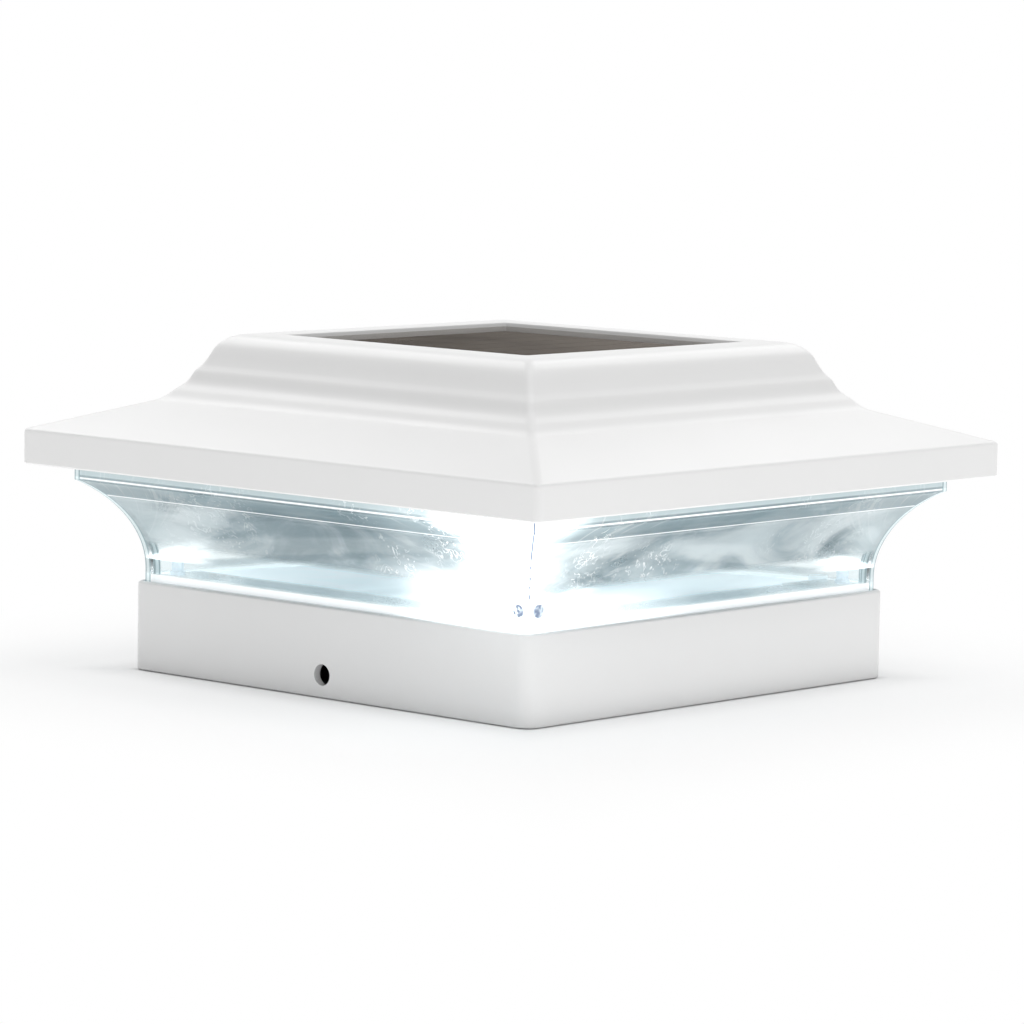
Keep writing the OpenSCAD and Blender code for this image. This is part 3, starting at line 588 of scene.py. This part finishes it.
def lens_material():
    """Clear moulded plastic with seeds, flow streaks and the glow of the corner lamps in it. Its
    hazy coat's colour is painted light and shade, as seen through the plastic.
    """
    m = material("lens_clear_skin")
    face = Face(m)
    cloud = m.noise(1, 4, 0.6, 1.1, m.stretched(30, 30, 75))
    upper = m.span(face.up, *HAZE_UP)
    seed, curl = lens_flaws(m, face, upper)
    relief = m.total(m.product(m.noise(60, 2), 0.35), m.product(seed, 0.4), m.product(curl, 0.5))
    glass = m.shader("BsdfPrincipled", Base_Color=(0.93, 0.98, 0.99, 1), Transmission_Weight=1.0,
                     Roughness=0.03, IOR=1.47, Normal=m.bump(relief, 0.3, 0.0008))
    ray, wedge = lamp_rays(m, face, upper)
    mark = lamp_images_and_seams(m, face)
    outline, strip = corner_lines(m, face)
    # painted highlights: bright lines along each face at the step, the lip and the collar;
    # and a painted shade over the collar
    line = m.most(m.near(face.up, STEP_Z + 0.5, 0.06, 0.12),
                  m.near(face.up, LIP_Z + 0.7, 0.13, 0.22),
                  m.near(face.up, COLLAR_TOP + 0.9, 0.8, 0.6))
    shade = m.product(m.near(face.up, COLLAR_TOP + 3.1, 0.5, 0.9),
                      m.span(face.along, 6, 30, 0.0, 0.38))
    # painted light and shade: the coat's colour paints what shows through the clear plastic, a
    # mottled grey blue, paler near each corner and darker towards each face's middle, a painted
    # shade above the step under the roof, a paler lip, painted highlights in white and the front
    # lamp's painted images; the coat also has a faint painted glow, more on the bright lines
    tone = m.mix(m.span(cloud, 0.34, 0.66), rgb(96, 118, 126), rgb(236, 244, 246))
    for weight, colour in (
            (m.span(face.along, 2, 24, 0.55, 0.0), rgb(222, 234, 237)),
            (m.span(face.along, 14, 44, 0.0, 0.45), rgb(138, 158, 166)),
            (m.span(face.up, *STEP_UP, 0.0, 0.65), rgb(118, 142, 150)),
            (m.span(face.up, *LIP_UP, 0.0, 0.85), rgb(208, 222, 225)),
            (shade, rgb(168, 192, 202)),
            (m.most(line, ray, seed, curl), rgb(252, 254, 255)),
            (strip, rgb(226, 238, 240)),
            (outline, rgb(142, 164, 170)),
            (mark, rgb(128, 142, 168))):
        tone = m.mix(weight, tone, colour)
    cover = m.most(m.product(upper, m.span(cloud, 0.3, 0.7, 0.56, 0.44)),
                   m.product(line, 0.75),
                   m.total(shade, ray),
                   m.span(face.up, *LIP_UP, 0.0, 0.75),
                   m.product(seed, 0.5),
                   mark,
                   m.span(face.along, 1.5, 6, 0.45, 0.0),
                   m.product(m.most(strip, outline), 0.8))
    cover = m.math("ADD", cover, m.product(curl, 0.25), clamp=True)
    haze_and_painted_light = m.shader("BsdfPrincipled", Base_Color=tone, Roughness=0.5, Emission_Color=tone,
                    Emission_Strength=m.total(0.15, m.product(line, 0.2)))
    # the lens throws the light shadow of clear plastic, without its haze and painted light
    clear = m.shader("BsdfTransparent", Color=(0.95, 0.98, 0.99, 1))
    shadow = m.add("ShaderNodeLightPath").outputs["Is Shadow Ray"]
    plastic = m.blend(shadow, m.blend(cover, glass, haze_and_painted_light), clear)
    power = m.total(m.product(lamp_glow(m, face), 1.3), m.product(wedge, 0.9))
    glow = m.shader("Emission", Color=(0.93, 0.98, 1.0, 1),
                    Strength=m.product(power, m.rest(mark)))
    both = m.add("ShaderNodeAddShader")
    m.link(plastic, both.inputs[0])
    m.link(glow, both.inputs[1])
    return m.finish(both.outputs[0])


# ---------------------------------------------------------------- which node has which material
# moulded: colour, roughness, scale of the skin, its depth, mottling
WHITE = moulded("white_housing_skin", (0.80, 0.80, 0.798, 1), 0.33, 700, 0.03, 0.008)
STEEL = metal("plated_steel", (0.66, 0.66, 0.67, 1), 0.3)
MATERIALS = {
    "panel_cover": cover_material(),
    "solar_cells": panel_material(),
    "panel_board": foam("panel_board_skin", rgb(58, 54, 52), 0.7, 700),
    "panel_tape": foam("black_foam", grey(0.03)),
    "lens_lip_seal": foam("sealant_skin", (0.82, 0.85, 0.85, 1), 0.6, 600, 0.5),
    "reflector_tray": reflector_material("tray_skin", 0.97),
    "deck_plate": reflector_material("deck_skin", 1.03, 0.42),
    "wire_conduit": reflector_material("conduit_skin"),
    "lamp_boards": circuit("white_board", (0.84, 0.87, 0.87, 1), (0.78, 0.81, 0.81, 1), 0.35),
    "deck_screws": painted("painted_screw", rgb(232, 240, 243), 0.35),
    "lamp_domes": lamp_material(),
    "electronics_box": moulded("grey_box", (0.36, 0.37, 0.38, 1), 0.55, 500, 0.2, 0.06),
    "charge_board": circuit("green_board", (0.01, 0.09, 0.035, 1), (0.03, 0.18, 0.07, 1)),
    "controller_chip": moulded("chip_body", (0.012, 0.012, 0.013, 1), 0.5, 2200, 0.3, 0.1),
    "inductor": metal("copper_winding_skin", (0.72, 0.32, 0.14, 1), 0.35),
    "capacitor": moulded("capacitor_sleeve", (0.02, 0.03, 0.13, 1), 0.25, 900, 0.05, 0.05),
    "lead_connectors": moulded("ivory_nylon", (0.72, 0.68, 0.52, 1), 0.5, 1200, 0.1, 0.04),
    "switch_slider": moulded("black_nylon", grey(0.02), 0.5, 1200, 0.2, 0.1),
    "battery_sleeve": moulded("green_sleeve", (0.03, 0.22, 0.07, 1), 0.22, 600, 0.05, 0.05),
    "panel_leads": wire_material(),
}
for name, like in (("lens_foot_seal", "lens_lip_seal"), ("battery_door", "electronics_box"),
                   ("door_gasket", "panel_tape"), ("lamp_leads", "panel_leads"),
                   ("lamp_board_screws", "deck_screws")):
    MATERIALS[name] = MATERIALS[like]
for name in ("tray_screws", "box_screws", "charge_board_screws", "switch_housing",
             "battery_cell", "contact_spring", "contact_plates", "door_screws"):
    MATERIALS[name] = STEEL
for name, skin in MATERIALS.items():
    slots = nodes[name].data.materials
    slots.clear()
    slots.append(skin)

# ---------------------------------------------------------------- roof
# The model's values, with a rounder crown and the small step 1.8 mm lower between the same ends.
# Angles below the horizontal: the long slope, the risers, the hollow's end, the low riser.
SLOPE, RISER, HOLLOW, LOW = (math.radians(a) for a in (18.5, 64, 30, 48))
RIM_FLAT, CROWN_R, BAND_R, ROOF_WALL, LEDGE_W, BAND_H = 7.31, 6.5, 1, 2.2, 4, 8.9
RISER_TOP, RISER_MID, RISER_LOW = 4.13, 2.0, 1.4
TREAD, TREAD_FALL = 1.3, 1.1
HOLLOW_R, SLOPE_HOLLOW_R = 5.5, 6
OPENING = PANEL_HALF + 0.3
WAVE, WAVE_PITCH, WAVE_AT = 0.05, 5.5, ROOF_TOP - 4.6
WAVE_LOW, WAVE_HIGH, WAVE_FADE = ROOF_TOP - 17, ROOF_TOP - 0.9, 1.5
SOFT_STEP, SOFT_WIDTH, SOFT_ERROR = 0.2, 0.5, 0.004
CORNER_R, HIP_R, HIP_GROWTH = 1.8, 2.2, 0.1
BREAK = 0.4  # of the band's lower edge
INSIDE_R, POCKET_R = 1.0, 0.6
# Groove on the underside that takes the lens's lip, between two ribs
RIB = 2
GROOVE_IN, GROOVE_OUT = LENS_HALF - 2.5, LENS_HALF + 0.3
GROOVE_Z, GROOVE_TOP = ROOF_Z + RIB, LENS_TOP + 0.3


def roof_outline():
    """Outer line of the roof from the rim's flat to the foot of the slope."""
    line = [(OPENING + RIM_FLAT, ROOF_TOP)]

    def straight(out, down):
        w, z = line[-1]
        line.append((w + out, z - down))

    line += turn(line[-1], CROWN_R, 0, RISER)
    straight(RISER_TOP / math.tan(RISER), RISER_TOP)
    straight(TREAD, TREAD_FALL * TREAD)
    straight(RISER_MID / math.tan(RISER), RISER_MID)
    line += turn(line[-1], HOLLOW_R, RISER, HOLLOW)
    straight(RISER_LOW / math.tan(LOW), RISER_LOW)
    line += turn(line[-1], SLOPE_HOLLOW_R, LOW, SLOPE)
    line.append((ROOF_HALF - BAND_R * (1 - math.sin(SLOPE)), ROOF_Z + BAND_H))
    return line


def wavy(line):
    """The moulding's soft waves: a shallow sine on the risers, a fraction of a mm deep."""
    out = []
    for w, z in line:
        fade = max(0.0, min(1.0, (z - WAVE_LOW) / WAVE_FADE, WAVE_HIGH - z))
        out.append((w + WAVE * fade * math.sin(2 * math.pi * (z - WAVE_AT) / WAVE_PITCH), z))
    return out


def roof_outside(outer):
    """Outside of the roof's profile, from the band's lower edge up to the ledge for the panel."""
    crown = soften([(OPENING + 4, ROOF_TOP)] + outer, SOFT_STEP, SOFT_WIDTH)
    crown = thin(wavy(crown), SOFT_ERROR)
    foot_z = crown[-1][1]
    edge = turn(outer[-1], BAND_R, SLOPE, math.pi / 2, 8)
    band = [(ROOF_HALF, z) for z in (ROOF_Z + BREAK, ROOF_Z + 2, ROOF_Z + BAND_H - 1.4)]
    profile = [(w, z, CORNER_R) for w, z in band + edge[::-1]]
    profile += [(w, z, min(HIP_R, CORNER_R + HIP_GROWTH * (z - foot_z))) for w, z in crown[::-1]]
    rim_edge = [(OPENING + 0.5, ROOF_TOP, 1.0), (OPENING + 0.15, ROOF_TOP - 0.12, 0.8),
                (OPENING, ROOF_TOP - 0.45, 0.7)]
    ledge = [(OPENING, LEDGE_Z, POCKET_R), (OPENING - LEDGE_W, LEDGE_Z, POCKET_R)]
    return profile + rim_edge + ledge


def roof_inside(outer):
    """Inside of the roof's profile, from under the ledge out to the band, with the groove."""
    ledge_low = LEDGE_Z - ROOF_WALL
    inner = [(w - ROOF_WALL, z - ROOF_WALL) for w, z in outer]
    inner = [(w, z) for w, z in inner if z < ledge_low - 0.01]
    inner = [(inner[0][0] - 0.1, ledge_low)] + inner
    rib_in, rib_out, band_in = GROOVE_IN - RIB, GROOVE_OUT + RIB, ROOF_HALF - ROOF_WALL
    line = [(w, z) for w, z in inner if w < rib_in]
    line += [(rib_in, height_on(inner, rib_in)), (rib_in, GROOVE_Z), (GROOVE_IN, GROOVE_Z),
             (GROOVE_IN, GROOVE_TOP), (GROOVE_OUT, GROOVE_TOP), (GROOVE_OUT, GROOVE_Z),
             (rib_out, GROOVE_Z), (rib_out, height_on(inner, rib_out))]
    line += [(w, z) for w, z in inner if rib_out + 0.2 < w < band_in - 0.4]
    line += [(band_in, ROOF_Z + BAND_H - ROOF_WALL - 1.2), (band_in, ROOF_Z)]
    return ([(OPENING - LEDGE_W, ledge_low, POCKET_R)] + [(w, z, INSIDE_R) for w, z in line]
            + [(ROOF_HALF - BREAK, ROOF_Z, CORNER_R - 0.1)])


roof_line = roof_outline()
roof = sweep("roof_moulding", roof_outside(roof_line) + roof_inside(roof_line), steps=7)
roof.data.materials.append(WHITE)
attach(roof, "cap")
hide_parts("roof")

# ---------------------------------------------------------------- lens
COVE_R, LENS_WALL, STEP = 25.2, 2.2, 0.6
COVE_TURN = math.radians(59)
COVE_Z = LENS_Z + 4.4
COVE_AXIS = LENS_FOOT + COVE_R
LENS_OUT_R, LENS_IN_R = 1.4, 0.8


def cove(r, a0, a1, n):
    """Points on one face of the cove, between two angles."""
    turns = [a0 + (a1 - a0) * i / n for i in range(n + 1)]
    return [(COVE_AXIS - r * math.cos(a), COVE_Z + r * math.sin(a)) for a in turns]


def lens_profile():
    """Upright foot, cove with the step inside it, and upright lip."""
    lip_in = LENS_HALF - LENS_WALL
    lip_z = COVE_Z + COVE_R * math.sin(COVE_TURN)
    low_r, high_r = COVE_R + LENS_WALL, COVE_R + LENS_WALL - STEP
    rise = STEP_Z - COVE_Z
    inside = cove(low_r, 0, math.asin(rise / low_r), 18)
    inside += cove(high_r, math.asin(rise / high_r), math.acos((COVE_AXIS - lip_in) / high_r), 10)
    outside = [(LENS_FOOT, LENS_Z + 0.2)] + cove(COVE_R, 0, COVE_TURN, 24)
    outside += [(LENS_HALF - 0.1, lip_z + 0.03), (LENS_HALF, lip_z + 0.2), (LENS_HALF, LENS_TOP)]
    inside = [(lip_in, LENS_TOP)] + inside[::-1] + [(LENS_FOOT - LENS_WALL, LENS_Z)]
    return ([(LENS_FOOT - 0.2, LENS_Z, LENS_OUT_R - 0.2)]
            + [(w, z, LENS_OUT_R) for w, z in outside] + [(w, z, LENS_IN_R) for w, z in inside])


lens = sweep("lens_shell", lens_profile(), steps=6, sharp_deg=40)
lens.data.materials.append(lens_material())
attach(lens, "cap")
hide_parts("lens")

# ---------------------------------------------------------------- collar
WALL, CORNER, COLLAR_EDGE = 2, 4, 0.7
SOCKET = COLLAR_HALF - WALL
FLANGE_IN, FLANGE_T = SOCKET - 10.5, 1.5
SEAT = LENS_FOOT + 0.3
HOLE_R, HOLE_Z, HOLE_DEEP = 2.6, 5.5, 6


def collar_profile():
    """Wall with a round upper edge, seat for the lens's foot, and flange under the deck."""
    outside = [(COLLAR_HALF - 0.25, 0)] + [(COLLAR_HALF, z) for z in (0.3, 8, 16)]
    outside += arc(COLLAR_HALF - COLLAR_EDGE, COLLAR_TOP - COLLAR_EDGE, COLLAR_EDGE, 0, 90, 5)
    flange_z = DECK_Z - FLANGE_T
    inside = [(FLANGE_IN, DECK_Z), (FLANGE_IN, flange_z), (SOCKET, flange_z), (SOCKET, 0)]
    return ([(w, z, CORNER) for w, z in outside]
            + [(SEAT + 0.25, COLLAR_TOP, 1.6), (SEAT, COLLAR_TOP - 0.25, 1.4), (SEAT, DECK_Z, 1.4)]
            + [(w, z, POCKET_R) for w, z in inside])


def drill(obj):
    """Cuts the post screws' holes through the faces that look along Y."""
    bm = bmesh.new()
    for side in (-1, 1):
        middle = Vector((0, side * (COLLAR_HALF - WALL / 2), HOLE_Z)) * MM
        bmesh.ops.create_cone(
            bm, cap_ends=True, segments=40, radius1=HOLE_R * MM, radius2=HOLE_R * MM,
            depth=HOLE_DEEP * MM,
            matrix=Matrix.Translation(middle) @ Matrix.Rotation(math.pi / 2, 4, "X"))
    cutter = mesh_object("hole_cutter", bm)
    cut = obj.modifiers.new("holes", "BOOLEAN")
    cut.object = cutter
    cut.solver = "EXACT"
    bpy.context.view_layer.update()
    depsgraph = bpy.context.evaluated_depsgraph_get()
    mesh = bpy.data.meshes.new_from_object(obj.evaluated_get(depsgraph))
    obj.modifiers.clear()
    bpy.data.objects.remove(cutter)
    bm = bmesh.new()
    bm.from_mesh(mesh)
    smooth(bm, SHARP_DEG)
    bm.to_mesh(mesh)
    bm.free()
    mesh.materials.clear()
    obj.data = mesh


collar = sweep("collar_shell", collar_profile(), steps=10)
drill(collar)
collar.data.materials.append(WHITE)
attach(collar, "cap")
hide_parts("base_collar")

# ---------------------------------------------------------------- floor
# Distances from the middle of the floor in metres, between which its looks change
CONTACT, SHADE, BEYOND = (0.066, 0.068), (0.067, 0.082), (0.085, 0.17)
BOUNCE, SIDE, SIDE_FADE = (0.067, 0.15), (0.068, 0.074), (0.10, 0.17)
FLOOR_HALF, FLOOR_Z = 3.0, -0.0002  # just under the collar, so that the two share no plane


def floor_material():
    """White paper near the object, and plain white for the camera further out. It throws light
    back at the object, a little more on the two sides that the camera sees."""
    m = material("floor_paper")
    base = m.mix(m.span(m.noise(6, 2), 0.3, 0.7), grey(0.90), grey(0.92))
    paper = m.shader("BsdfPrincipled", Base_Color=base, Roughness=0.9, Specular_IOR_Level=0.1)
    x, y, _ = m.xyz()
    far = m.most(m.math("ABSOLUTE", x), m.math("ABSOLUTE", y))
    seen = m.background_seen()
    white = m.shader("Emission", Color=grey(1), Strength=m.span(seen, 0.0, 1.0, 2.0, 1.0))
    shown = m.total(m.span(far, *CONTACT, 0.0, 0.35), m.span(far, *SHADE, 0.0, 0.3),
                    m.span(far, *BEYOND, 0.0, 0.35))
    right = m.product(m.span(x, *SIDE), m.span(far, *SIDE_FADE, 0.50, 0.0))
    left = m.product(m.span(m.product(y, -1.0), *SIDE), m.span(far, *SIDE_FADE, 0.26, 0.0))
    bounce = m.total(m.span(far, *BOUNCE, 0.0, 0.39), right, left)
    return m.finish(m.blend(m.mix_value(seen, bounce, shown), paper, white))


bm = bmesh.new()
bmesh.ops.create_grid(bm, x_segments=4, y_segments=4, size=FLOOR_HALF)
floor = mesh_object("floor", bm)
floor.location.z = FLOOR_Z
floor.data.materials.append(floor_material())

# ---------------------------------------------------------------- lights and world
SKY_LIGHT = 0.465  # the world's strength for all but the rays that see the background
# area lamps: place, height of the point on the Z axis that each aims at, side, all in metres,
# and power in watts
for name, place, aim_z, size, power in (
        ("key_right", (1.4, -0.5, 0.7), 0.04, 0.9, 0.8),
        ("back_left", (-1.2, 0.25, 1.2), 0.05, 0.9, 5.5),
        ("back_right", (-0.25, 1.2, 1.2), 0.05, 0.9, 4),
        ("top_soft", (0.4, 0.0, 1.5), 0.05, 1.0, 7.0),
        ("front_high", (0.9, -0.9, 1.6), 0.06, 0.9, 1.6)):
    light = bpy.data.lights.new(name, "AREA")
    light.shape = "RECTANGLE"
    light.size = light.size_y = size
    light.energy = power
    lamp = bpy.data.objects.new(name, light)
    lamp.location = place
    aim = Vector((0, 0, aim_z)) - Vector(place)
    lamp.rotation_euler = aim.to_track_quat("-Z", "Y").to_euler()
    bpy.context.scene.collection.objects.link(lamp)

studio = Nodes(bpy.data.worlds.new("studio"), "ShaderNodeOutputWorld")
bpy.context.scene.world = studio.finish(studio.blend(
    studio.background_seen(),
    studio.shader("Background", Color=grey(1), Strength=SKY_LIGHT),
    studio.shader("Background", Color=grey(1), Strength=1.0)))

# ---------------------------------------------------------------- camera
# Solved on the photograph's corners and edges. ANGLE, DISTANCE (from the Z axis) and HEIGHT in
# metres place it, PITCH and ROLL turn it, and FOCAL_PX is its focal length in pixels.
ANGLE, DISTANCE, HEIGHT = math.radians(42.283), 1.1956, 0.1689
PITCH, ROLL, FOCAL_PX = math.radians(6.143), math.radians(1.045), 4842.4
SENSOR, IMAGE_PX = 36, 1024
level = Vector((-math.sin(ANGLE), math.cos(ANGLE), 0))
ahead = level * math.cos(PITCH) - Vector((0, 0, math.sin(PITCH)))
right = Vector((math.cos(ANGLE), math.sin(ANGLE), 0))
up = right.cross(ahead)
right, up = (right * math.cos(ROLL) + up * math.sin(ROLL),
             up * math.cos(ROLL) - right * math.sin(ROLL))
data = bpy.data.cameras.new("camera")
data.sensor_width = SENSOR
data.lens = FOCAL_PX / IMAGE_PX * SENSOR
data.clip_end = 20
camera = bpy.data.objects.new("camera", data)
camera.matrix_world = Matrix((
    (right.x, up.x, -ahead.x, math.sin(ANGLE) * DISTANCE),
    (right.y, up.y, -ahead.y, -math.cos(ANGLE) * DISTANCE),
    (right.z, up.z, -ahead.z, HEIGHT),
    (0, 0, 0, 1),
))
bpy.context.scene.collection.objects.link(camera)
bpy.context.scene.camera = camera
bpy.context.scene.view_settings.view_transform = "Standard"
